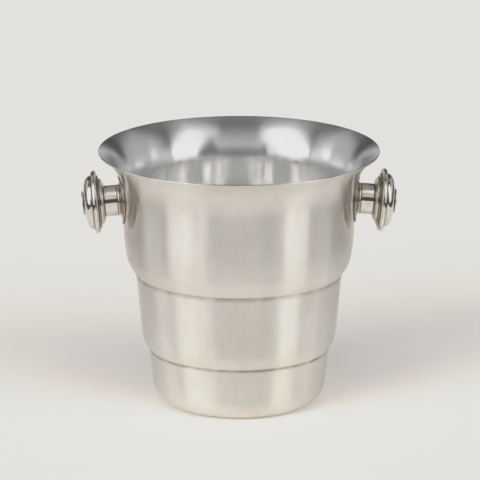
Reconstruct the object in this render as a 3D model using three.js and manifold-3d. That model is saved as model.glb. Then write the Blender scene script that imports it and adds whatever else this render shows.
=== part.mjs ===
// Champagne bucket: a spun silver-plated shell in three stepped tiers with a
// flared mouth, and two turned knob handles, each drawn against the wall by a
// threaded stud. Millimetres, +Z up, handles along X, and the origin on the
// floor under the middle of the bucket.
import * as THREE from "three";
import { mergeVertices } from "three/addons/utils/BufferGeometryUtils.js";
import Module from "manifold-3d";

const wasm = await Module();
wasm.setup();

// ---- Driving dimensions of the bucket
const HEIGHT = 200;
const SHEET = 1.2; // thickness of the spun sheet
const THROAT_RADIUS = 90; // where the wall starts to flare into the mouth
const THROAT_HEIGHT = 168;
const FLARE_RADIUS = 37.2;
const FLARE_LEAN = 59.5; // degrees from vertical at the lip
const FLARE_STEPS = 7;
const LIP_STEPS = 4;
const BODY_SEGMENTS = 48;

// Each tier hangs from the foot of the tier above it. A lean is the wall's
// inward slope from vertical in degrees, and a bend rounds the wall to a new
// lean, so that the last bend is the shoulder that the next tier tucks under.
const TIERS = [
  {
    foot: 103.3,
    lean: 1.8,
    bends: [
      { lean: 8.7, radius: 160, steps: 2 },
      { lean: 43.1, radius: 28.4, steps: 4 },
    ],
  },
  { foot: 43, lean: 5.7, bends: [{ lean: 38.2, radius: 25.4, steps: 4 }] },
  { foot: 0, lean: 6.5, bends: [{ lean: 90, radius: 17.3, steps: 6 }] },
];

// ---- Driving dimensions of a handle, along its axis from the wall outwards
const GAP = 0.3; // clearance between neighbouring pieces
const HANDLE_HEIGHT = 161; // where the axis meets the wall
const HANDLE_DROP = 5; // degrees below level
const HANDLE_SEGMENTS = 24;
const HANDLE_SIDES = [
  { name: "left", turn: -1 },
  { name: "right", turn: 1 },
];
const STUD_RADIUS = 2.5;
const BORE_RADIUS = STUD_RADIUS + GAP;
const NECK = { radius: 12, wall: 1.4, start: 3.9, end: 13.9 };
const SPIGOT = { radius: NECK.radius - NECK.wall - GAP, length: 2 };
const FLANGE = { radius: 18.8, seat: NECK.start - GAP, edge: 1.1, steps: 5 };
const COLLAR = { start: NECK.end + GAP, end: 17.3, foot: 13, radius: 17.8, edge: 0.6, steps: 4 };
const BACK_PLATE = { start: COLLAR.end + GAP, end: 18.5, radius: 20.4 };
const DISC = { start: BACK_PLATE.end + GAP, end: 22.9, radius: 24.6, steps: 8 };
const DOME = {
  start: DISC.end + GAP, end: 30, radius: 20.8, fullness: 2.7, sheet: 1.2, hole: 5.3, steps: 6,
};
const BUTTON = { start: DOME.end + GAP, end: 31.2, radius: 9.3, chamfer: 0.3, boss: 5, bossStart: 25 };
const STUD = { start: -10, end: 29.2 };
const WASHER = { radius: 8, end: -SHEET - 3 };
const NUT = { start: WASHER.end - GAP, height: 4, flat: 8, dome: 3.2, steps: 4 };

const degrees = THREE.MathUtils.degToRad;

// ---- Materials
const satin = { color: 0xc9c3b6, metalness: 1, roughness: 0.32 };
const polished = { color: 0xd9d6cf, metalness: 1, roughness: 0.1 };
const brass = { color: 0xb8965a, metalness: 1, roughness: 0.35 };

// ---- The meridian: points down the outside of the wall with the lean there.
// A bend turns about a centre inside the wall, and the flare about one outside.
function bendPoints(from, lean, radius, steps, side) {
  const points = [];
  for (let i = 1; i <= steps; i++) {
    const turned = from.lean + ((lean - from.lean) * i) / steps;
    points.push({
      r: from.r + side * radius * (Math.cos(degrees(turned)) - Math.cos(degrees(from.lean))),
      z: from.z - side * radius * (Math.sin(degrees(turned)) - Math.sin(degrees(from.lean))),
      lean: turned,
    });
  }
  return points;
}

function flarePoints() {
  const throat = { r: THROAT_RADIUS, z: THROAT_HEIGHT, lean: TIERS[0].lean };
  return [throat, ...bendPoints(throat, FLARE_LEAN, FLARE_RADIUS, FLARE_STEPS, -1)].reverse();
}

function tierPoints(top, tier) {
  let drop = top.z - tier.foot;
  let lean = tier.lean;
  for (const bend of tier.bends) {
    drop -= bend.radius * (Math.sin(degrees(bend.lean)) - Math.sin(degrees(lean)));
    lean = bend.lean;
  }
  const wallTop = { r: top.r, z: top.z, lean: tier.lean };
  const wallFoot = { r: top.r - drop * Math.tan(degrees(tier.lean)), z: top.z - drop, lean: tier.lean };
  const points = [wallTop, wallFoot];
  for (const bend of tier.bends) {
    points.push(...bendPoints(points[points.length - 1], bend.lean, bend.radius, bend.steps, 1));
  }
  return points;
}

function meridianPoints() {
  const points = flarePoints();
  points.pop();
  let top = { r: THROAT_RADIUS, z: THROAT_HEIGHT };
  for (const tier of TIERS) {
    points.push(...tierPoints(top, tier));
    top = points[points.length - 1];
  }
  return points;
}

const meridian = meridianPoints();

// The outside radius of the wall at a height, read off the meridian.
function wallRadius(z) {
  const below = meridian.findIndex((point) => point.z <= z);
  const upper = meridian[below - 1];
  const lower = meridian[below];
  return upper.r + ((lower.r - upper.r) * (upper.z - z)) / (upper.z - lower.z);
}

// ---- Solids
function latheSolid(points, segments) {
  const outline = points.map(([r, z]) => new THREE.Vector2(r, z));
  return new THREE.LatheGeometry(outline, segments).rotateX(Math.PI / 2);
}

// A ring of the given outline, closed on itself.
function ringSolid(points) {
  return latheSolid([...points, points[0]], HANDLE_SEGMENTS);
}

// Points on an arc of an ellipse about (r, z), from one angle to another.
function arcPoints(r, z, radiusR, radiusZ, from, to, steps) {
  return Array.from({ length: steps + 1 }, (_, i) => {
    const angle = degrees(from + ((to - from) * i) / steps);
    return [r + radiusR * Math.cos(angle), z + radiusZ * Math.sin(angle)];
  });
}

function toManifold(geometry) {
  const bare = geometry.clone();
  bare.deleteAttribute("normal");
  bare.deleteAttribute("uv");
  const merged = mergeVertices(bare);
  return new wasm.Manifold(
    new wasm.Mesh({
      numProp: 3,
      vertProperties: new Float32Array(merged.attributes.position.array),
      triVerts: new Uint32Array(merged.index.array),
    }),
  );
}

function fromManifold(solid) {
  const mesh = solid.getMesh();
  const geometry = new THREE.BufferGeometry();
  geometry.setAttribute("position", new THREE.BufferAttribute(mesh.vertProperties, 3));
  geometry.setIndex(new THREE.BufferAttribute(mesh.triVerts, 1));
  geometry.computeVertexNormals();
  return geometry;
}

// ---- The bucket: the sheet follows the meridian, rounded over at the lip,
// with a hole through the wall for each handle's stud.
function handleMatrix(side) {
  const place = new THREE.Matrix4().makeTranslation(
    side.turn * wallRadius(HANDLE_HEIGHT), 0, HANDLE_HEIGHT);
  return place.multiply(new THREE.Matrix4().makeRotationY(side.turn * degrees(90 + HANDLE_DROP)));
}

function bucketSolid() {
  const lean = degrees(FLARE_LEAN);
  const lip = meridian[0];
  const lipCentre = [lip.r - (SHEET / 2) * Math.cos(lean), HEIGHT - SHEET / 2];
  const rounded = arcPoints(...lipCentre, SHEET / 2, SHEET / 2,
    -FLARE_LEAN, 180 - FLARE_LEAN, LIP_STEPS);
  const outside = meridian.map((point) => [point.r, point.z]).slice(1).reverse();
  const inside = meridian.slice(1).map((point) => [
    point.r - SHEET * Math.cos(degrees(point.lean)),
    point.z + SHEET * Math.sin(degrees(point.lean)),
  ]);
  const outline = [[0, 0], ...outside, ...rounded, ...inside, [0, SHEET]];
  let shell = toManifold(latheSolid(outline, BODY_SEGMENTS));
  for (const side of HANDLE_SIDES) {
    const drill = new THREE.CylinderGeometry(BORE_RADIUS, BORE_RADIUS, 8 * SHEET, HANDLE_SEGMENTS);
    drill.rotateX(Math.PI / 2).applyMatrix4(handleMatrix(side));
    shell = shell.subtract(toManifold(drill));
  }
  return fromManifold(shell);
}

// ---- The pieces of a handle, each about the handle's own axis

// How far along the axis the surface at a clearance off the wall lies from
// the handle's origin, found by stepping towards it.
function wallDistance(matrix, x, y, clearance) {
  const point = new THREE.Vector3();
  let distance = 0;
  for (let i = 0; i < 6; i++) {
    point.set(x, y, distance).applyMatrix4(matrix);
    distance += wallRadius(point.z) + clearance - Math.hypot(point.x, point.y);
  }
  return distance;
}

// Moves each vertex along the axis to where place(radius, z, wall) puts it.
function shapeToWall(geometry, matrix, clearance, place) {
  const position = geometry.attributes.position;
  for (let i = 0; i < position.count; i++) {
    const x = position.getX(i);
    const y = position.getY(i);
    const wall = wallDistance(matrix, x, y, clearance);
    position.setZ(i, place(Math.hypot(x, y), position.getZ(i), wall));
  }
  return geometry;
}

// The flange sits on the curved wall and sweeps up to the neck's radius. Its
// outline is drawn with the wall at 0 and the seat for the neck at 1.
function wallFlange(matrix) {
  const sweep = FLANGE.radius - NECK.radius;
  const trumpet = arcPoints(FLANGE.radius, 1, sweep, 1, 180, 270, FLANGE.steps);
  const outline = [
    [BORE_RADIUS, 0],
    [(BORE_RADIUS + NECK.radius) / 2, 0],
    [NECK.radius, 0],
    [FLANGE.radius, 0],
    ...trumpet.reverse().map(([r, height]) => [r, height + 1]),
    [SPIGOT.radius, 2],
    [SPIGOT.radius, 3],
    [BORE_RADIUS, 3],
  ];
  const spigotEnd = FLANGE.seat + SPIGOT.length;
  return shapeToWall(ringSolid(outline), matrix, GAP, (radius, z, wall) => {
    const edge = wall + FLANGE.edge;
    const heights = [wall, edge, FLANGE.seat, spigotEnd];
    const below = THREE.MathUtils.clamp(Math.floor(z), 0, 2);
    return THREE.MathUtils.lerp(heights[below], heights[below + 1], z - below);
  });
}

function neckTube() {
  const inner = NECK.radius - NECK.wall;
  return ringSolid([
    [inner, NECK.start], [NECK.radius, NECK.start],
    [NECK.radius, NECK.end], [inner, NECK.end],
  ]);
}

function neckCollar() {
  const width = COLLAR.radius - COLLAR.foot;
  const bead = arcPoints(COLLAR.foot, COLLAR.end - COLLAR.edge, width,
    COLLAR.end - COLLAR.edge - COLLAR.start, -90, 0, COLLAR.steps);
  return ringSolid([
    [BORE_RADIUS, COLLAR.start - SPIGOT.length],
    [SPIGOT.radius, COLLAR.start - SPIGOT.length],
    [SPIGOT.radius, COLLAR.start],
    ...bead,
    [COLLAR.radius, COLLAR.end],
    [BORE_RADIUS, COLLAR.end],
  ]);
}

function backPlate() {
  return ringSolid([
    [BORE_RADIUS, BACK_PLATE.start], [BACK_PLATE.radius, BACK_PLATE.start],
    [BACK_PLATE.radius, BACK_PLATE.end], [BORE_RADIUS, BACK_PLATE.end],
  ]);
}

function knobDisc() {
  const half = (DISC.end - DISC.start) / 2;
  const edge = arcPoints(DISC.radius - half, DISC.start + half, half, half, -90, 90, DISC.steps);
  return ringSolid([[BORE_RADIUS, DISC.start], ...edge, [BORE_RADIUS, DISC.end]]);
}

// A pressed shell, an ellipse in section, open at the back and holed in front
// for the button's boss.
// A dome's section from its rim in to the hole. Its fullness is 2 for an ellipse, and more for a
// flatter face with rounder shoulders.
function domePoints(radius, rise) {
  const power = 2 / DOME.fullness;
  const stop = Math.acos((DOME.hole / radius) ** (1 / power));
  return Array.from({ length: DOME.steps + 1 }, (_, i) => {
    const angle = (stop * i) / DOME.steps;
    return [radius * Math.cos(angle) ** power, DOME.start + rise * Math.sin(angle) ** power];
  });
}

function knobDome() {
  const rise = DOME.end - DOME.start;
  const inside = domePoints(DOME.radius - DOME.sheet, rise - DOME.sheet);
  return ringSolid([...domePoints(DOME.radius, rise), ...inside.reverse()]);
}

function endButton() {
  return latheSolid([
    [0, STUD.end + GAP],
    [BORE_RADIUS, STUD.end + GAP],
    [BORE_RADIUS, BUTTON.bossStart],
    [BUTTON.boss, BUTTON.bossStart],
    [BUTTON.boss, BUTTON.start],
    [BUTTON.radius, BUTTON.start],
    [BUTTON.radius, BUTTON.end - BUTTON.chamfer],
    [BUTTON.radius - BUTTON.chamfer, BUTTON.end],
    [0, BUTTON.end],
  ], HANDLE_SEGMENTS);
}

function threadedStud() {
  const length = STUD.end - STUD.start;
  const stud = new THREE.CylinderGeometry(STUD_RADIUS, STUD_RADIUS, length, HANDLE_SEGMENTS / 2);
  return stud.rotateX(Math.PI / 2).translate(0, 0, STUD.start + length / 2);
}

// The washer's outer face follows the inside of the wall.
function saddleWasher(matrix) {
  const middle = (BORE_RADIUS + WASHER.radius) / 2;
  const outline = [
    [BORE_RADIUS, WASHER.end], [WASHER.radius, WASHER.end],
    [WASHER.radius, 0], [middle, 0], [BORE_RADIUS, 0],
  ];
  return shapeToWall(ringSolid(outline), matrix, -SHEET - GAP,
    (radius, z, wall) => (z > WASHER.end / 2 ? wall : z));
}

// A hexagon nut with a domed cap and a blind bore.
function capNut() {
  const corner = NUT.flat / Math.sqrt(3);
  const capFoot = NUT.start - NUT.height;
  const hexagon = new THREE.CylinderGeometry(corner, corner, NUT.height, 6);
  hexagon.rotateX(Math.PI / 2).translate(0, 0, NUT.start - NUT.height / 2);
  const capRadius = NUT.flat / 2 - GAP;
  const cap = latheSolid([
    ...arcPoints(0, capFoot, capRadius, NUT.dome, -90, 0, NUT.steps),
    [capRadius, NUT.start - GAP],
    [0, NUT.start - GAP],
  ], HANDLE_SEGMENTS / 2);
  const depth = NUT.start - STUD.start + GAP;
  const bore = new THREE.CylinderGeometry(BORE_RADIUS, BORE_RADIUS, 2 * depth, HANDLE_SEGMENTS / 2);
  bore.rotateX(Math.PI / 2).translate(0, 0, NUT.start);
  return fromManifold(toManifold(hexagon).add(toManifold(cap)).subtract(toManifold(bore)));
}

// ---- Assembly
function piece(name, geometry, look) {
  const mesh = new THREE.Mesh(geometry, new THREE.MeshStandardMaterial(look));
  mesh.name = name;
  return mesh;
}

function handle(side) {
  const matrix = handleMatrix(side);
  const group = new THREE.Group();
  group.applyMatrix4(matrix);
  group.add(
    piece(`${side.name}_wall_flange`, wallFlange(matrix), polished),
    piece(`${side.name}_neck_tube`, neckTube(), polished),
    piece(`${side.name}_neck_collar`, neckCollar(), polished),
    piece(`${side.name}_back_plate`, backPlate(), polished),
    piece(`${side.name}_knob_disc`, knobDisc(), polished),
    piece(`${side.name}_knob_dome`, knobDome(), polished),
    piece(`${side.name}_end_button`, endButton(), polished),
    piece(`${side.name}_threaded_stud`, threadedStud(), brass),
    piece(`${side.name}_saddle_washer`, saddleWasher(matrix), brass),
    piece(`${side.name}_cap_nut`, capNut(), brass),
  );
  return group;
}

const bucket = new THREE.Group();
bucket.add(piece("bucket_body", bucketSolid(), satin));
for (const side of HANDLE_SIDES) {
  bucket.add(handle(side));
}

export default bucket;
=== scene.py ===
"""A silver-plated champagne bucket in three stepped tiers, with a turned knob handle on each side.

The spun shell and the pieces of the handles are worked out here as turned surfaces, each standing for
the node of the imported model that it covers. Lengths are metres unless a name or a note says otherwise.
"""
import math

import bpy
import numpy as np
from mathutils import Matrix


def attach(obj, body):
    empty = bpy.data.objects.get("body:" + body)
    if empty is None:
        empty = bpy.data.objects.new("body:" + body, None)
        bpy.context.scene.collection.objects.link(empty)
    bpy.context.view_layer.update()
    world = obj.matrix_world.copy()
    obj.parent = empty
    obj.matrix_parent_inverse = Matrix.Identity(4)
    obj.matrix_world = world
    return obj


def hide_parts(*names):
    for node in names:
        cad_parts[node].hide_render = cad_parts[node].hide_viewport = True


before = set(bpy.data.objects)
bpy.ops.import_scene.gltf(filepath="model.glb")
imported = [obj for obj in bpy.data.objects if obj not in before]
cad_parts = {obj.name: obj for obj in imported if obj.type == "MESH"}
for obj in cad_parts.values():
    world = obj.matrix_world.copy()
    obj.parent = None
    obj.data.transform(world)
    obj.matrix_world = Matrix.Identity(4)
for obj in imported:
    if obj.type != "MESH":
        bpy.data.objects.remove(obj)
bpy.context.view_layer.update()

MM = 0.001

# ---- The shell's meridian, in millimetres and degrees
SHEET = 1.2
THROAT = (90.0, 168.0)
FLARE_RADIUS = 37.2
FLARE_LEAN = 59.3
TIERS = [
    {"foot": 103.3, "lean": 1.8, "bends": [(8.7, 160.0), (43.1, 28.4)]},
    {"foot": 43.0, "lean": 5.7, "bends": [(38.2, 25.4)]},
    {"foot": 0.0, "lean": 6.5, "bends": [(90.0, 17.3)]},
]
SHELL_TURNS = 312
# Slow waves of the wall: height in millimetres, waves round, radians per millimetre of height, start.
WAVES = [(0.06, 3, 0.021, 0.4), (0.045, 5, -0.034, 2.1), (0.03, 8, 0.055, 4.0), (0.02, 13, -0.09, 1.2)]
WAVES_END = {"top": 196, "top_fade": 30, "foot": 1.5, "foot_fade": 14}
STEP_DIRT = {"width": 0.65, "upper_from": 70, "upper_share": 0.6}
# Heights over which the inside turns from the flare, painted darker as painted shade, to the worn wall
# below it, painted paler as painted light.
SCOURED_AND_PAINTED_LIGHT = (THROAT[1] - 4, THROAT[1] + 18)

# ---- The handle's stack, in millimetres along its axis from the wall outwards
GAP = 0.3
HANDLE_HEIGHT = 161.0
HANDLE_DROP = 5.0
HANDLE_TURNS = 144
FASTENER_TURNS = 96
SEAM_DIRT = 0.45
WALL_STEPS = 8
# Outlines on the axis start this far from it, and their poles are closed with fans of faces.
HUB = 0.02
STUD_RADIUS = 2.5
BORE = STUD_RADIUS + GAP
NECK = {"radius": 12.0, "wall": 1.4, "start": 3.9, "end": 13.9}
SPIGOT = {"radius": 10.3, "length": 2.0}
FLANGE = {"radius": 18.8, "seat": 3.6, "edge": 1.1}
COLLAR = {"start": 14.2, "end": 17.3, "foot": 13.0, "radius": 17.8}
BACK_PLATE = {"start": 17.6, "end": 18.5, "radius": 20.4}
DISC = {"start": 18.8, "end": 22.9, "radius": 24.6}
DOME = {"start": 23.2, "end": 30.0, "radius": 20.8, "fullness": 2.7, "sheet": 1.2, "hole": 5.3}
BUTTON = {"start": 30.3, "end": 31.2, "radius": 9.3, "boss": 5.0, "boss_start": 25.0}
STUD_START = -10.0
STUD_END = 29.2
WASHER = {"radius": 8.0, "end": -4.2}
NUT = {"start": -4.5, "height": 4.0, "flat": 8.0, "dome": 3.2}

# ---- The camera and the studio
CAMERA = {"distance": 3.461, "height": 1.083, "pitch": 15.43, "turn": 1.8, "pan": 0.012, "lens": 348.0}
# Name, azimuth, elevation, distance, width, height and radiance.
SOFTBOXES = [
    ("softbox_left", -60, 34, 1.4, 0.78, 2.0, 1.42),
    ("softbox_right", 57.5, 34, 1.4, 0.72, 2.0, 1.42),
    ("feather_left", -37, 30, 1.42, 0.38, 1.6, 0.8),
    ("spill_front", 0, 44, 1.7, 1.3, 1.1, 0.57),
    ("spill_left", -116, 27, 1.7, 1.4, 1.2, 0.46),
    ("spill_right", 116, 27, 1.7, 1.4, 1.2, 0.46),
    ("spill_behind", 180, 70, 1.7, 1.8, 0.7, 0.2),
    ("backdrop", 180, 7, 2.9, 3.4, 0.9, 0.48),
    ("card_left", -91, 14, 1.4, 0.66, 0.8, 0.75),
    ("card_right", 86, 14, 1.4, 0.66, 0.8, 0.55),
]
# Name, azimuth, elevation, strength and spread in degrees.
SUNS = [("key_left", -44, 27, 1.3, 36), ("key_right", 50, 34, 0.8, 42), ("fill_front", 0, 50, 0.93, 60)]
SUN_DISTANCE = 2.0
ROOM_MIRRORED = (0.07, 0.067, 0.063, 1)
ROOM_LIGHT = (0.24, 0.24, 0.24, 1)
FLOOR = {"half_width": 0.52, "near": -2.6, "far": 3.5}
# Light in, and the tone it is shown as.
BRIGHTEST = (3.0, 0.93)
TONES = [(0.3, 0.3), (0.6, 0.6), (0.8, 0.775), (1.2, 0.82), (2.0, 0.88)]
STRAIGHT_TONES = 3

# ---- The finishes: the two colours that a material's noise mixes, and those of its wear and grime; some of them are painted light and painted shade
OUTSIDE_SILVER = ((0.93, 0.91, 0.87, 1), (0.865, 0.835, 0.78, 1))
# The mouth's flare: cooler, and painted darker than the other silver as painted shade, to dim the lamps
# that it mirrors.
MOUTH_SILVER_PAINTED_SHADE = ((0.76, 0.76, 0.77, 1), (0.68, 0.68, 0.695, 1))
# The inside wall below the flare: painted paler than the other silver as painted light, to brighten what
# it mirrors.
INSIDE_SILVER_PAINTED_LIGHT = ((1.0, 0.995, 0.985, 1), (0.975, 0.97, 0.96, 1))
WORN_STREAK = (0.70, 0.655, 0.60, 1)
# Also used for the painted shade on the wall round each flange.
STEP_BROWN = (0.42, 0.31, 0.20, 1)
HANDLE_SILVER = ((0.83, 0.81, 0.775, 1), (0.745, 0.72, 0.675, 1))
# Also used for the painted shade along each flange's edge against the wall.
SEAM_BROWN = (0.30, 0.22, 0.13, 1)
BRASS = ((0.66, 0.50, 0.25, 1), (0.42, 0.30, 0.15, 1))
PAPER = ((0.80, 0.77, 0.725, 1), (0.81, 0.78, 0.735, 1))
# A painted glow of the paper itself, which lightens the shadows on the floor, the contact shadow at the
# base among them.
PAPER_PAINTED_GLOW = (1.0, 0.965, 0.92, 1)

# ---- Where Blender keeps a colour mix's sockets, and a tone curve's combined channel
MIX_FACTOR = 0
MIX_A = 6
MIX_B = 7
MIX_RESULT = 2
COMBINED = 3


# ---------------------------------------------------------------- turned outlines
def arc(centre, radii, start, stop, steps):
    """Points of an ellipse: centre plus the radii times (cos, sin) of an angle that runs from start to
    stop in degrees, in equal steps."""
    angle = np.radians(np.linspace(start, stop, steps + 1))
    return np.stack([centre[0] + radii[0] * np.cos(angle), centre[1] + radii[1] * np.sin(angle)], 1)


def fillet(outline, radius, steps=4):
    """Rounds every corner of a closed outline: each corner becomes a quadratic curve from a point short
    of it on the edge before to a point past it on the edge after, never more than 0.4 of an edge away.
    Corners on the axis stay sharp."""
    before = np.roll(outline, 1, 0) - outline
    after = np.roll(outline, -1, 0) - outline
    length_before = np.linalg.norm(before, axis=1, keepdims=True)
    length_after = np.linalg.norm(after, axis=1, keepdims=True)
    eased = np.where(outline[:, :1] < HUB * 2, 1e-4, radius)
    start = outline + before / length_before * np.minimum(eased, 0.4 * length_before)
    end = outline + after / length_after * np.minimum(eased, 0.4 * length_after)
    t = np.linspace(0.0, 1.0, steps + 1)[None, :, None]
    curve = (1 - t) ** 2 * start[:, None] + 2 * t * (1 - t) * outline[:, None] + t ** 2 * end[:, None]
    return curve.reshape(-1, 2)


def spaced(outline, longest):
    """Adds points along each edge of a closed outline, so that none is longer than the given length.
    The edge that runs along the axis is left whole."""
    ends = np.roll(outline, -1, 0)
    counts = np.maximum(1, np.ceil(np.linalg.norm(ends - outline, axis=1) / longest).astype(int))
    counts[(outline[:, 0] < HUB * 2) & (ends[:, 0] < HUB * 2)] = 1
    edge = np.repeat(np.arange(len(outline)), counts)
    first = np.concatenate([[0], np.cumsum(counts)[:-1]])
    part = (np.arange(counts.sum()) - first[edge]) / counts[edge]
    return outline[edge] + (ends[edge] - outline[edge]) * part[:, None]


# ---------------------------------------------------------------- meshes
def write_mesh(name, points, quads, uv, attributes):
    """Puts arrays of corners, faces, face-corner UVs and per-point values into a smooth-shaded mesh."""
    mesh = bpy.data.meshes.new(name)
    mesh.vertices.add(len(points))
    mesh.vertices.foreach_set("co", points.astype(np.float32).ravel())
    mesh.loops.add(quads.size)
    mesh.loops.foreach_set("vertex_index", quads.astype(np.int32).ravel())
    mesh.polygons.add(len(quads))
    mesh.polygons.foreach_set("loop_start", np.arange(0, quads.size, 4, dtype=np.int32))
    mesh.update(calc_edges=True)
    layer = mesh.uv_layers.new(name="turned")
    layer.data.foreach_set("uv", uv.astype(np.float32).ravel())
    for key, values in attributes.items():
        kind = "FLOAT" if values.ndim == 1 else "FLOAT_VECTOR"
        field = "value" if values.ndim == 1 else "vector"
        data = mesh.attributes.new(key, kind, "POINT").data
        data.foreach_set(field, values.astype(np.float32).ravel())
    mesh.validate()
    mesh.shade_smooth()
    mesh.set_sharp_from_angle(angle=math.radians(32))
    piece = bpy.data.objects.new(name, mesh)
    bpy.context.collection.objects.link(piece)
    return piece


def ring_mesh(name, outline, turns, place, extra=None, shape=None):
    """A closed outline of (radius, height) points turned about the height axis: the point at turn t is
    (radius cos t, radius sin t, height). shape may move the whole grid before place sets it in the frame.
    Millimetres in, metres out. Faces point outwards for an outline that runs anticlockwise. An outline
    that starts and ends at the hub is closed at both poles, with faces that each span two steps."""
    count = len(outline)
    solid = outline[0, 0] < HUB * 2
    turn = 2 * np.pi * np.arange(turns) / turns
    radius = np.broadcast_to(outline[:, :1], (count, turns))
    height = np.broadcast_to(outline[:, 1:], (count, turns))
    grid = np.stack([radius * np.cos(turn), radius * np.sin(turn), height], -1)
    if shape:
        grid = shape(grid)
    row = np.arange(count - solid)[:, None]
    column = np.arange(turns)[None, :]
    after_row = (row + 1) % count
    after_column = (column + 1) % turns
    quads = np.stack([
        row * turns + column, row * turns + after_column,
        after_row * turns + after_column, after_row * turns + column], -1).reshape(-1, 4)
    edges = np.diff(outline, axis=0, append=outline[:1])
    run = np.concatenate([[0], np.cumsum(np.linalg.norm(edges, axis=1))])
    around = np.stack([column, column + 1, column + 1, column], -1) / turns + 0 * row[..., None]
    along = (np.stack([run[row], run[row], run[row + 1], run[row + 1]], -1) + 0 * column[..., None]) * MM
    uv = np.stack([around, along], -1).reshape(-1, 2)
    points = grid.reshape(-1, 3)
    values = {key: np.repeat(each, turns) for key, each in (extra or {}).items()}
    if solid:
        first = np.arange(0, turns, 2)
        spans = (first + np.arange(3)[:, None]) % turns
        poles = np.array([[0, 0, outline[0, 1]], [0, 0, outline[-1, 1]]])
        under = np.stack([np.full_like(first, len(points)), spans[2], spans[1], spans[0]], -1)
        last = (count - 1) * turns + spans
        over = np.stack([last[0], last[1], last[2], np.full_like(first, len(points) + 1)], -1)
        turned = (first + np.array([1, 2, 1, 0])[:, None]) / turns
        turned_over = (first + np.array([0, 1, 2, 1])[:, None]) / turns
        run_under = np.tile([-HUB, 0, 0, 0], len(first)) * MM
        run_over = (run[-2] + np.tile([0, 0, 0, HUB], len(first))) * MM
        quads = np.concatenate([quads, under, over])
        uv_under = np.stack([turned.T.ravel(), run_under], -1)
        uv_over = np.stack([turned_over.T.ravel(), run_over], -1)
        uv = np.concatenate([uv, uv_under, uv_over])
        points = np.concatenate([points, poles])
        values = {key: np.append(each, [each[0], each[-1]]) for key, each in values.items()}
    return write_mesh(name, place(points) * MM, quads, uv, {"turning": points * MM, **values})


# ---------------------------------------------------------------- the shell
def bend(start, lean, radius, side, steps):
    """Points on an arc that carries the wall's lean from start's to a new one. side 1 turns about a
    centre inside the wall and side -1 about one outside. Columns are radius, height and lean."""
    leans = np.linspace(start[2], lean, steps + 1)[1:]
    was = math.radians(start[2])
    now = np.radians(leans)
    radii = start[0] + side * radius * (np.cos(now) - math.cos(was))
    heights = start[1] - side * radius * (np.sin(now) - math.sin(was))
    return np.stack([radii, heights, leans], 1)


def straight(start, foot, lean, steps):
    """Points down a straight wall of the given lean to a height."""
    heights = np.linspace(start[1], foot, steps + 1)[1:]
    radii = start[0] - (start[1] - heights) * math.tan(math.radians(lean))
    return np.stack([radii, heights, np.full(steps, lean)], 1)


def meridian():
    """The outside of the wall from the lip down: the flare, then each tier's wall and bends. A tier's
    wall is as long as its bends leave it. The corner under each shoulder is there twice, once with the
    shoulder's lean and once with the next wall's."""
    throat = np.array([*THROAT, TIERS[0]["lean"]])
    flare = bend(throat, FLARE_LEAN, FLARE_RADIUS, -1, 40)[::-1]
    parts = [flare]
    top = throat
    for tier in TIERS:
        leans = [tier["lean"]] + [lean for lean, _ in tier["bends"]]
        sines = np.sin(np.radians(leans))
        drop = sum(radius * (sines[i + 1] - sines[i]) for i, (_, radius) in enumerate(tier["bends"]))
        start = np.array([top[0], top[1], tier["lean"]])
        wall = straight(start, tier["foot"] + drop, tier["lean"], 12)
        parts += [start[None], wall]
        for lean, radius in tier["bends"]:
            parts.append(bend(parts[-1][-1], lean, radius, 1, 16))
        top = parts[-1][-1]
    return np.concatenate(parts)


WALL = meridian()


def wall_radius(height):
    """The outside radius of the wall at a height, read off the meridian."""
    return np.interp(height, WALL[::-1, 1], WALL[::-1, 0])


def shell_outline():
    """The meridian, the rounded lip, and the meridian again a sheet's thickness inside it, closed across
    the base. The second value is 1 on the inside face and 0 outside."""
    lean = np.radians(WALL[:, 2])
    outside = WALL[::-1, :2]
    inside = np.stack([WALL[:, 0] - SHEET * np.cos(lean), WALL[:, 1] + SHEET * np.sin(lean)], 1)
    lip_centre = (outside[-1] + inside[0]) / 2
    lip = arc(lip_centre, (SHEET / 2, SHEET / 2), -FLARE_LEAN, 180 - FLARE_LEAN, 8)[1:-1]
    rings = np.linspace(0.0, 1.0, 9)[1:-1, None]
    base_edge = outside[0, 0]
    base_out = np.concatenate([np.full((1, 1), HUB), rings * base_edge]) * [[1, 0]]
    base_in = base_out[::-1] + [[0, SHEET]]
    outline = np.concatenate([base_out, outside, lip, inside, base_in])
    inner = np.zeros(len(outline))
    inner[len(base_out) + len(outside) + len(lip) // 2:] = 1.0
    return outline, inner


def hand_worked(grid):
    """The small unevenness of a hand-finished wall: the radius grows by the sum of four slow cosine
    waves round the shell and up it, two to six hundredths of a millimetre high, which fade out at the
    lip and the base."""
    x, y, z = grid[..., 0], grid[..., 1], grid[..., 2]
    turn = np.arctan2(y, x)
    waves = sum(high * np.cos(count * turn + climb * z + start) for high, count, climb, start in WAVES)
    at_top = np.clip((WAVES_END["top"] - z) / WAVES_END["top_fade"], 0, 1)
    at_foot = np.clip((z - WAVES_END["foot"]) / WAVES_END["foot_fade"], 0, 1)
    fade = at_top * at_foot
    stretch = 1 + waves * fade / np.maximum(np.hypot(x, y), 1)
    return np.stack([x * stretch, y * stretch, z], -1)


def in_frame(points):
    """The shell is worked out in the frame itself, so its points stay where they are."""
    return points


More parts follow.
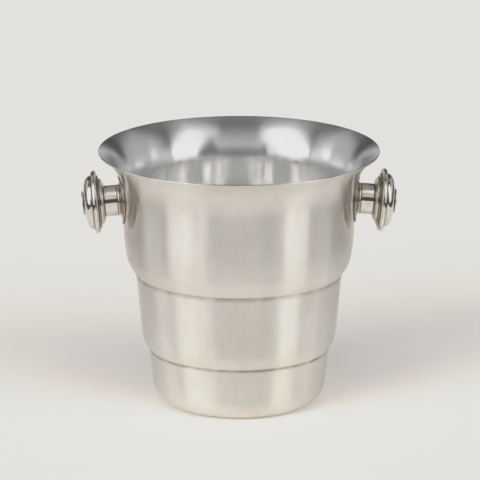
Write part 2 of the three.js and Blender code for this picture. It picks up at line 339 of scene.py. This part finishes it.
def make_shell():
    """The spun shell, with values that say where it is the inside face, where grime lies in a step's
    corner, and how far the inside wall below the flare has taken over from the flare: that wall is worn
    and painted paler as painted light, and the flare is painted darker as painted shade."""
    outline, inner = shell_outline()
    height = outline[:, 1]
    corners = np.array([tier["foot"] for tier in TIERS[:2]])
    off_corner = np.abs(height[:, None] - corners).min(1)
    share = np.where(height > STEP_DIRT["upper_from"], STEP_DIRT["upper_share"], 1.0)
    tarnish_and_shade = np.exp(-(off_corner / STEP_DIRT["width"]) ** 2) * (1 - inner) * share
    # 1 on the worn inside wall below the flare, which is painted paler as painted light, and 0 on the
    # flare, which is painted darker as painted shade.
    scoured_and_painted_light = inner * np.interp(height, SCOURED_AND_PAINTED_LIGHT, (1.0, 0.0))
    return ring_mesh("spun_shell", outline, SHELL_TURNS, in_frame,
                     {"inner": inner, "tarnish_and_shade": tarnish_and_shade, "scoured_and_painted_light": scoured_and_painted_light}, hand_worked)


# ---------------------------------------------------------------- the handles
def handle_place(side):
    """The frame of a handle: its axis leaves the wall along X on the given side, dropping by the
    handle's angle, and its own x axis lies in the upright plane through it."""
    angle = side * math.radians(90 + HANDLE_DROP)
    cos, sin = math.cos(angle), math.sin(angle)
    turn = np.array([[cos, 0, sin], [0, 1, 0], [-sin, 0, cos]])
    origin = np.array([side * float(wall_radius(HANDLE_HEIGHT)), 0, HANDLE_HEIGHT])

    def place(points):
        return points @ turn.T + origin
    return place


def wall_distance(grid, place, clearance):
    """How far along the handle's axis the wall lies, at a clearance, for each point of a grid: a step
    as long as the distance still left, repeated a fixed number of times."""
    flat = grid.reshape(-1, 3).copy()
    flat[:, 2] = 0
    for _ in range(WALL_STEPS):
        spot = place(flat)
        flat[:, 2] += wall_radius(spot[:, 2]) + clearance - np.hypot(spot[:, 0], spot[:, 1])
    return flat[:, 2].reshape(grid.shape[:-1])


def make_flange(name, place):
    """A trumpet from the neck down to the wall. It is drawn with the wall at height 0, the edge at 1,
    the seat of the neck at 2 and the spigot's end at 3, and each height is then set between the wall,
    which curves, and the flat seat."""
    sweep = FLANGE["radius"] - NECK["radius"]
    edge = arc((FLANGE["radius"] - 0.3, 0.5), (0.3, 0.5), -90, 90, 6)
    trumpet = arc((FLANGE["radius"] - 0.3, 2.0), (sweep - 0.3, 1.0), 270, 180, 20)[1:]
    back = np.stack([np.linspace(BORE, FLANGE["radius"] - 0.3, 8), np.zeros(8)], 1)[:-1]
    spigot = np.array([
        [NECK["radius"] - 0.15, 2.03], [SPIGOT["radius"], 2.03],
        [SPIGOT["radius"], 2.9], [SPIGOT["radius"] - 0.3, 3.0], [BORE, 3.0], [BORE, 1.5]])
    outline = np.concatenate([back, edge, trumpet, spigot])
    # Darker where the neck sits, which is patina, and along the edge against the wall, which is partly
    # patina and partly painted shade where flange and wall meet.
    at_neck = np.exp(-((outline[:, 1] - 2.0) / 0.12) ** 2)
    at_wall = np.exp(-((outline[:, 1] - 0.3) / 0.8) ** 2)
    tarnish_and_shade = np.clip(at_neck + at_wall, 0, 1)

    def shape(grid):
        wall = wall_distance(grid, place, GAP * 0.5)
        drawn = grid[..., 2]
        rim = wall + FLANGE["edge"]
        seat = FLANGE["seat"]
        end = seat + SPIGOT["length"]
        floor = np.floor(np.clip(drawn, 0, 2.999)).astype(int)
        part = drawn - floor
        low = np.choose(floor, [wall, rim, np.full_like(wall, seat)])
        high = np.choose(floor, [rim, np.full_like(wall, seat), np.full_like(wall, end)])
        return np.concatenate([grid[..., :2], (low + (high - low) * part)[..., None]], -1)

    return ring_mesh(name, outline, HANDLE_TURNS, place, {"tarnish_and_shade": tarnish_and_shade}, shape)


def turned_piece(name, outline, place, seams=(), longest=0.6, corner=0.2):
    """A plain turned ring with eased corners. seams are heights along the axis where grime has
    gathered."""
    outline = spaced(fillet(np.asarray(outline, float), corner), longest)
    tarnish_and_shade = np.zeros(len(outline))
    for seam in seams:
        tarnish_and_shade = np.maximum(tarnish_and_shade, np.exp(-((outline[:, 1] - seam) / SEAM_DIRT) ** 2))
    return ring_mesh(name, outline, HANDLE_TURNS, place, {"tarnish_and_shade": tarnish_and_shade})


def make_neck(name, place):
    """A plain round tube."""
    inner = NECK["radius"] - NECK["wall"]
    outline = [[inner, NECK["start"]], [NECK["radius"], NECK["start"]],
               [NECK["radius"], NECK["end"]], [inner, NECK["end"]]]
    return turned_piece(name, outline, place, (NECK["start"], NECK["end"]))


def make_collar(name, place):
    """A quarter-round bead that swells from the neck to the back plate."""
    bead = arc((COLLAR["foot"], COLLAR["end"] - 0.7),
               (COLLAR["radius"] - COLLAR["foot"], COLLAR["end"] - 0.7 - COLLAR["start"]), -90, 0, 14)
    tip = COLLAR["start"] - SPIGOT["length"]
    outline = np.concatenate([
        [[BORE, tip], [SPIGOT["radius"], tip], [SPIGOT["radius"], COLLAR["start"]]],
        bead, [[COLLAR["radius"], COLLAR["end"]], [BORE, COLLAR["end"]]]])
    return turned_piece(name, outline, place, (COLLAR["start"], COLLAR["end"]), corner=0.15)


def make_back_plate(name, place):
    """A thin ring with eased edges."""
    outline = [[BORE, BACK_PLATE["start"]], [BACK_PLATE["radius"], BACK_PLATE["start"]],
               [BACK_PLATE["radius"], BACK_PLATE["end"]], [BORE, BACK_PLATE["end"]]]
    return turned_piece(name, outline, place, (BACK_PLATE["start"], BACK_PLATE["end"]), corner=0.35)


def make_disc(name, place):
    """A flat ring with a full half-round edge."""
    half = (DISC["end"] - DISC["start"]) / 2
    edge = arc((DISC["radius"] - half, DISC["start"] + half), (half, half), -90, 90, 24)
    outline = np.concatenate([[[BORE, DISC["start"]]], edge, [[BORE, DISC["end"]]]])
    return turned_piece(name, outline, place, (DISC["start"], DISC["end"]), corner=0.1)


def dome_section(radius, rise, steps):
    """A dome's section from its rim in to the hole: the radius times cos^p of an angle, and the rise
    times sin^p, where p is 2 over the fullness and so 1 for an ellipse."""
    power = 2 / DOME["fullness"]
    angle = np.linspace(0.0, math.acos((DOME["hole"] / radius) ** (1 / power)), steps + 1)
    return np.stack([radius * np.cos(angle) ** power, DOME["start"] + rise * np.sin(angle) ** power], 1)


def make_dome(name, place):
    """A pressed shell, fuller than a quarter ellipse in section, cut off at the button's boss."""
    rise = DOME["end"] - DOME["start"]
    outer = dome_section(DOME["radius"], rise, 36)
    inner = dome_section(DOME["radius"] - DOME["sheet"], rise - DOME["sheet"], 18)[::-1]
    outline = np.concatenate([outer, inner])
    return turned_piece(name, outline, place, (DOME["start"],), corner=0.12)


def make_button(name, place):
    """A thin disc with an eased edge on a bored boss."""
    outline = [[HUB, STUD_END + GAP], [BORE, STUD_END + GAP], [BORE, BUTTON["boss_start"]],
               [BUTTON["boss"], BUTTON["boss_start"]], [BUTTON["boss"], BUTTON["start"]],
               [BUTTON["radius"], BUTTON["start"]], [BUTTON["radius"], BUTTON["end"]],
               [HUB, BUTTON["end"]]]
    return turned_piece(name, outline, place, (BUTTON["start"],), corner=0.35)


def make_washer(name, place):
    """A thick washer whose outer face follows the inside of the wall."""
    outline = spaced(fillet(np.array([
        [BORE, WASHER["end"]], [WASHER["radius"], WASHER["end"]],
        [WASHER["radius"], 0.0], [BORE, 0.0]]), 0.4), 0.8)

    def shape(grid):
        wall = wall_distance(grid, place, -SHEET - GAP * 0.5)
        share = 1 - grid[..., 2] / WASHER["end"]
        height = WASHER["end"] + (wall - WASHER["end"]) * share
        return np.concatenate([grid[..., :2], height[..., None]], -1)

    return ring_mesh(name, outline, FASTENER_TURNS, place, {"tarnish_and_shade": np.zeros(len(outline))}, shape)


def make_nut(name, place):
    """A hexagon nut with a domed cap and a blind bore: the radius is the smaller of a hexagon's, which
    is its half width over the cosine of the turn from the middle of the nearest flat, and a cone that
    chamfers it."""
    foot = NUT["start"] - NUT["height"]
    half = NUT["flat"] / 2
    corner = half / math.cos(math.pi / 6)
    cap = arc((0, foot), (half - 0.35, NUT["dome"]), -90, 0, 12)
    cap[0, 0] = HUB
    outline = np.concatenate([
        cap, [[corner - 0.35, foot + 0.02], [corner, foot + 0.25], [corner, foot + 0.8]],
        [[corner, NUT["start"] - 0.5], [corner, NUT["start"] - 0.2], [corner - 0.3, NUT["start"]]],
        [[BORE, NUT["start"]], [BORE, STUD_START - GAP], [HUB, STUD_START - GAP]]])

    def shape(grid):
        x, y, z = grid[..., 0], grid[..., 1], grid[..., 2]
        turn = np.arctan2(y, x)
        from_flat = np.abs((turn + math.pi / 6) % (math.pi / 3) - math.pi / 6)
        hexagon = half / np.cos(from_flat)
        radius = np.hypot(x, y)
        kept = np.where(radius > half - 0.3, np.minimum(radius, hexagon), radius)
        scale = kept / np.maximum(radius, 1e-6)
        return np.stack([x * scale, y * scale, z], -1)

    return ring_mesh(name, outline, FASTENER_TURNS, place, {"tarnish_and_shade": np.zeros(len(outline))}, shape)


# ---------------------------------------------------------------- materials
class Nodes:
    """A small helper that adds nodes to a material and joins them."""

    def __init__(self, name):
        self.material = bpy.data.materials.new(name)
        self.material.use_nodes = True
        self.tree = self.material.node_tree
        self.shader = self.tree.nodes["Principled BSDF"]

    def add(self, kind, inputs=None, **settings):
        node = self.tree.nodes.new(kind)
        for key, value in settings.items():
            setattr(node, key, value)
        for key, value in (inputs or {}).items():
            self.set(node.inputs[key], value)
        return node

    def set(self, socket, value):
        if isinstance(value, bpy.types.NodeSocket):
            self.tree.links.new(value, socket)
        else:
            socket.default_value = value

    def attribute(self, name, output="Fac"):
        return self.add("ShaderNodeAttribute", attribute_name=name).outputs[output]

    def noise(self, vector, scale, detail=3.0, roughness=0.5):
        node = self.add("ShaderNodeTexNoise", {"Vector": vector, "Scale": scale, "Detail": detail,
                                               "Roughness": roughness})
        return node.outputs["Fac"]

    def stretched(self, vector, scale):
        node = self.add("ShaderNodeMapping", {"Vector": vector, "Scale": scale})
        return node.outputs["Vector"]

    def ramp(self, value, low, high, to_low=0.0, to_high=1.0):
        node = self.add("ShaderNodeMapRange", {"Value": value, "From Min": low, "From Max": high,
                                               "To Min": to_low, "To Max": to_high},
                        interpolation_type="SMOOTHSTEP")
        return node.outputs["Result"]

    def math(self, operation, a, b):
        node = self.add("ShaderNodeMath", operation=operation)
        self.set(node.inputs[0], a)
        self.set(node.inputs[1], b)
        return node.outputs["Value"]

    def mix(self, factor, a, b):
        node = self.add("ShaderNodeMix", data_type="RGBA")
        self.set(node.inputs[MIX_FACTOR], factor)
        self.set(node.inputs[MIX_A], a)
        self.set(node.inputs[MIX_B], b)
        return node.outputs[MIX_RESULT]

    def turned_sheen(self):
        """Stretches highlights along the outline, across the way that the piece was turned."""
        self.shader.inputs["Anisotropic"].default_value = 1.0
        self.shader.inputs["Anisotropic Rotation"].default_value = 0.25
        tangent = self.add("ShaderNodeTangent", direction_type="UV_MAP", uv_map="turned")
        self.set(self.shader.inputs["Tangent"], tangent.outputs["Tangent"])


def satin_silver():
    """Worn silver plate: fine upright polishing streaks, slow clouds of patina, brown grime lines in the
    corners of the steps, a brown ring round each flange that is partly patina and partly painted shade,
    a cooler flare inside the mouth that is painted darker as painted shade, and below it an inside wall
    that is painted paler as painted light and is crisper, with a slight haze from wear."""
    n = Nodes("satin_silver")
    turning = n.attribute("turning", "Vector")
    inner = n.attribute("inner")
    scoured_and_painted_light = n.attribute("scoured_and_painted_light")
    handle_axis = n.add("ShaderNodeMapping", {
        "Vector": turning, "Location": (0, 0, -HANDLE_HEIGHT * MM), "Scale": (0, 1, 1)})
    from_axis = n.add("ShaderNodeVectorMath", {"Vector": handle_axis.outputs["Vector"]},
                      operation="LENGTH").outputs["Value"]
    # A brown ring on the wall just round each flange: partly patina and partly painted shade where flange
    # and wall meet.
    flange_shade = n.ramp(from_axis, FLANGE["radius"] * MM, (FLANGE["radius"] + 2.2) * MM, 0.9, 0.0)
    flange_shade = n.math("MULTIPLY", flange_shade, n.math("SUBTRACT", 1.0, inner))
    crevice = n.math("MAXIMUM", n.attribute("tarnish_and_shade"), flange_shade)
    clouds = n.noise(turning, 22.0, 4.0, 0.55)
    streaks = n.noise(n.stretched(turning, (1.0, 1.0, 0.03)), 900.0, 2.0)
    clouded = n.ramp(clouds, 0.35, 0.7)
    outside = n.mix(clouded, *OUTSIDE_SILVER)
    # The flare's colours are painted darker as painted shade, and the wall's below it paler as painted
    # light.
    mouth = n.mix(clouded, *MOUTH_SILVER_PAINTED_SHADE)
    wall = n.mix(clouded, *INSIDE_SILVER_PAINTED_LIGHT)
    worn = n.noise(n.stretched(turning, (1.0, 1.0, 0.08)), 210.0, 5.0, 0.65)
    clean = n.mix(inner, outside, n.mix(scoured_and_painted_light, mouth, wall))
    plate = n.mix(n.ramp(worn, 0.42, 0.72, 0.0, 0.16), clean, WORN_STREAK)
    # Grime in the steps' corners, and round each flange grime and painted shade.
    dirt_and_shade = n.math("MULTIPLY", crevice, n.ramp(n.noise(turning, 130.0, 3.0), 0.3, 0.65, 0.4, 0.85))
    colour = n.mix(dirt_and_shade, plate, STEP_BROWN)
    n.set(n.shader.inputs["Base Color"], colour)
    n.set(n.shader.inputs["Metallic"], n.math("SUBTRACT", n.ramp(inner, 0.0, 1.0, 1.0, 0.95),
                                              n.math("MULTIPLY", scoured_and_painted_light, 0.13)))
    rough = n.math("ADD", n.ramp(streaks, 0.3, 0.7, 0.30, 0.34), n.math("MULTIPLY", dirt_and_shade, 0.2))
    crisp = n.math("ADD", n.math("MULTIPLY", inner, 0.07), n.math("MULTIPLY", scoured_and_painted_light, 0.18))
    n.set(n.shader.inputs["Roughness"], n.math("SUBTRACT", rough, crisp))
    n.turned_sheen()
    bump = n.add("ShaderNodeBump", {"Strength": 0.12, "Distance": 0.0001, "Height": streaks})
    n.set(n.shader.inputs["Normal"], bump.outputs["Normal"])
    return n.material


def polished_silver():
    """Bright silver plate, with fine wear that dulls it in patches, brown grime left in the seams, and a
    brown edge on each flange against the wall that is partly patina and partly painted shade.
    """
    n = Nodes("polished_silver")
    turning = n.attribute("turning", "Vector")
    crevice = n.attribute("tarnish_and_shade")
    wear = n.noise(turning, 160.0, 4.0, 0.6)
    metal = n.mix(n.ramp(wear, 0.35, 0.7), *HANDLE_SILVER)
    # Grime in the seams, and along each flange's edge against the wall grime and painted shade.
    dirt_and_shade = n.math("MULTIPLY", crevice, n.ramp(n.noise(turning, 420.0, 3.0), 0.3, 0.7, 0.4, 0.9))
    n.set(n.shader.inputs["Base Color"], n.mix(dirt_and_shade, metal, SEAM_BROWN))
    n.shader.inputs["Metallic"].default_value = 1.0
    n.set(n.shader.inputs["Roughness"], n.math("ADD", n.ramp(wear, 0.3, 0.7, 0.14, 0.19),
                                               n.math("MULTIPLY", dirt_and_shade, 0.3)))
    n.turned_sheen()
    return n.material


def plain_brass():
    """Unplated brass, dulled, with turning marks."""
    n = Nodes("plain_brass")
    place = n.add("ShaderNodeTexCoord").outputs["Object"]
    mottle = n.noise(place, 240.0, 4.0, 0.6)
    n.set(n.shader.inputs["Base Color"], n.mix(n.ramp(mottle, 0.3, 0.7), *BRASS))
    n.shader.inputs["Metallic"].default_value = 1.0
    n.set(n.shader.inputs["Roughness"], n.ramp(mottle, 0.3, 0.7, 0.25, 0.45))
    return n.material


def paper():
    """The floor's pale matt paper, with a very faint tooth and a faint painted glow that lightens its
    shadows.
    """
    n = Nodes("pale_paper")
    place = n.add("ShaderNodeTexCoord").outputs["Object"]
    tooth = n.noise(place, 60.0, 4.0, 0.6)
    n.set(n.shader.inputs["Base Color"], n.mix(tooth, *PAPER))
    n.shader.inputs["Roughness"].default_value = 0.95
    n.shader.inputs["Specular IOR Level"].default_value = 0.1
    # The paper glows faintly, though it is no lamp: painted light that lifts its shadows.
    n.shader.inputs["Emission Color"].default_value = PAPER_PAINTED_GLOW
    n.shader.inputs["Emission Strength"].default_value = 0.14
    return n.material


# ---------------------------------------------------------------- the studio
def make_floor():
    """A flat sheet of paper under the bucket, long from front to back."""
    wide = FLOOR["half_width"]
    near = FLOOR["near"]
    far = FLOOR["far"]
    corners = [(-wide, near, 0), (wide, near, 0), (wide, far, 0), (-wide, far, 0)]
    mesh = bpy.data.meshes.new("floor")
    mesh.from_pydata(corners, [], [(0, 1, 2, 3)])
    mesh.materials.append(paper())
    floor = bpy.data.objects.new("floor", mesh)
    bpy.context.collection.objects.link(floor)


def aim(thing, azimuth, elevation, distance, target=(0, 0, 0.1)):
    """Stands a light off the target, facing it. Azimuth is measured from the camera's side, positive to
    its right."""
    a = math.radians(azimuth - CAMERA["turn"])
    e = math.radians(elevation)
    way = np.array([math.sin(a) * math.cos(e), -math.cos(a) * math.cos(e), math.sin(e)])
    thing.location = np.array(target) + way * distance
    thing.rotation_euler = (math.pi / 2 - e, 0, a)


def softbox(name, azimuth, elevation, distance, width, height, radiance):
    """A glowing panel of an even radiance, seen only as a reflection."""
    light = bpy.data.lights.new(name, "AREA")
    light.shape = "RECTANGLE"
    light.size = width
    light.size_y = height
    light.energy = radiance * math.pi * width * height
    lamp = bpy.data.objects.new(name, light)
    aim(lamp, azimuth, elevation, distance)
    lamp.visible_camera = False
    lamp.visible_diffuse = False
    bpy.context.collection.objects.link(lamp)


def sun(name, azimuth, elevation, strength, spread):
    """Wide, even light on the floor that the metal doesn't mirror."""
    light = bpy.data.lights.new(name, "SUN")
    light.energy = strength
    light.angle = math.radians(spread)
    lamp = bpy.data.objects.new(name, light)
    aim(lamp, azimuth, elevation, SUN_DISTANCE)
    lamp.visible_glossy = False
    bpy.context.collection.objects.link(lamp)


def make_lights():
    """The soft boxes that the metal mirrors, the suns that light the floor, and a room that is darker
    in the metal than it is on the floor."""
    for name, azimuth, elevation, distance, width, height, radiance in SOFTBOXES:
        softbox(name, azimuth, elevation, distance, width, height, radiance)
    for name, azimuth, elevation, strength, spread in SUNS:
        sun(name, azimuth, elevation, strength, spread)
    world = bpy.data.worlds.new("studio")
    world.use_nodes = True
    tree = world.node_tree
    path = tree.nodes.new("ShaderNodeLightPath")
    mix = tree.nodes.new("ShaderNodeMix")
    mix.data_type = "RGBA"
    tree.links.new(path.outputs["Is Diffuse Ray"], mix.inputs[MIX_FACTOR])
    mix.inputs[MIX_A].default_value = ROOM_MIRRORED
    mix.inputs[MIX_B].default_value = ROOM_LIGHT
    tree.links.new(mix.outputs[MIX_RESULT], tree.nodes["Background"].inputs["Color"])
    bpy.context.scene.world = world


def make_camera():
    """A long lens, set well back and looking down at the bucket, a little round to its left."""
    data = bpy.data.cameras.new("camera")
    data.lens = CAMERA["lens"]
    data.sensor_width = 36
    data.clip_end = 50
    camera = bpy.data.objects.new("camera", data)
    turn = math.radians(CAMERA["turn"])
    camera.location = (-CAMERA["distance"] * math.sin(turn), -CAMERA["distance"] * math.cos(turn),
                       CAMERA["height"])
    camera.rotation_euler = (math.radians(90 - CAMERA["pitch"]), 0,
                             -turn - math.radians(CAMERA["pan"]))
    bpy.context.collection.objects.link(camera)
    bpy.context.scene.camera = camera


def develop():
    """The picture's tone: straight up to a mid light grey, then easing off, so that a mirrored lamp
    three times as bright as white still keeps below it."""
    view = bpy.context.scene.view_settings
    view.view_transform = "Standard"
    view.use_curve_mapping = True
    tone = view.curve_mapping
    brightest, shown_brightest = BRIGHTEST
    tone.white_level = (brightest, brightest, brightest)
    curve = tone.curves[COMBINED]
    curve.points[1].location = (1.0, shown_brightest)
    for light, shown in TONES:
        curve.points.new(light / brightest, shown)
    for point in list(curve.points)[:STRAIGHT_TONES]:
        point.handle_type = "VECTOR"
    tone.update()


# ---------------------------------------------------------------- assembly
def fit(piece, node, material):
    """Gives a piece its finish, rides it on the bucket and lets it stand for its node."""
    piece.data.materials.append(material)
    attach(piece, "root")
    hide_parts(node)


def assemble():
    """Makes every piece and fits it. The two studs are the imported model's own, in a better brass."""
    satin = satin_silver()
    polished = polished_silver()
    brass = plain_brass()
    fit(make_shell(), "bucket_body", satin)
    makers = {
        "wall_flange": make_flange, "neck_tube": make_neck, "neck_collar": make_collar,
        "back_plate": make_back_plate, "knob_disc": make_disc, "knob_dome": make_dome,
        "end_button": make_button}
    for side, name in ((-1, "left"), (1, "right")):
        place = handle_place(side)
        for part, maker in makers.items():
            fit(maker(f"{name}_{part}_turned", place), f"{name}_{part}", polished)
        fit(make_washer(f"{name}_washer_turned", place), f"{name}_saddle_washer", brass)
        fit(make_nut(f"{name}_nut_domed", place), f"{name}_cap_nut", brass)
        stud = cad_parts[f"{name}_threaded_stud"]
        stud.data.materials.clear()
        stud.data.materials.append(brass)


make_camera()
make_floor()
make_lights()
assemble()
develop()
